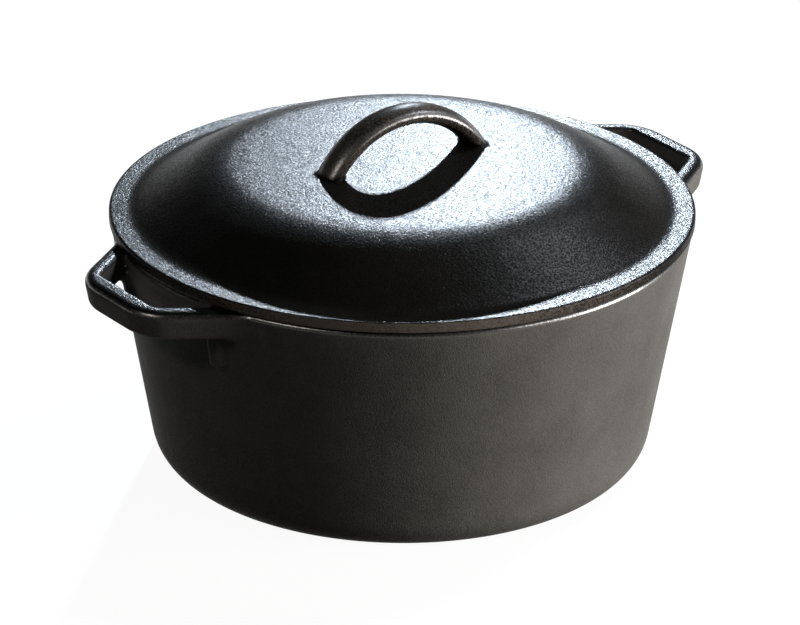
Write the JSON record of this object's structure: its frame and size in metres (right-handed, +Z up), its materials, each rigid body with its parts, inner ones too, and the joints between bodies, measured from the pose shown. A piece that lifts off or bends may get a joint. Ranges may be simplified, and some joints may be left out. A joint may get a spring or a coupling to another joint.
{
  "type": "dutch oven",
  "caption": "Round cast iron dutch oven with flared walls, loop handles at the rim and a loose domed lid that lifts off by an arch handle.",
  "frame": {"origin": "middle of the pot's flat base, on the surface that it stands on", "axes": "+Z up through the middle of the pot and lid, +X through the two loop handles"},
  "size_m": [0.324, 0.2714, 0.1726],
  "materials": {
    "pot_iron": "seasoned, satin, pebbled",
    "lid_iron": "seasoned, satin, pebbled"
  },
  "bodies": {
    "pot": {"pot": "pot_iron"},
    "lid": {"lid": "lid_iron"}
  },
  "joints": [
    {"name": "lid_lift", "type": "slide", "parent": "pot", "child": "lid", "axis": [0, 0, 1], "range_m": [0, 0.15]}
  ]
}
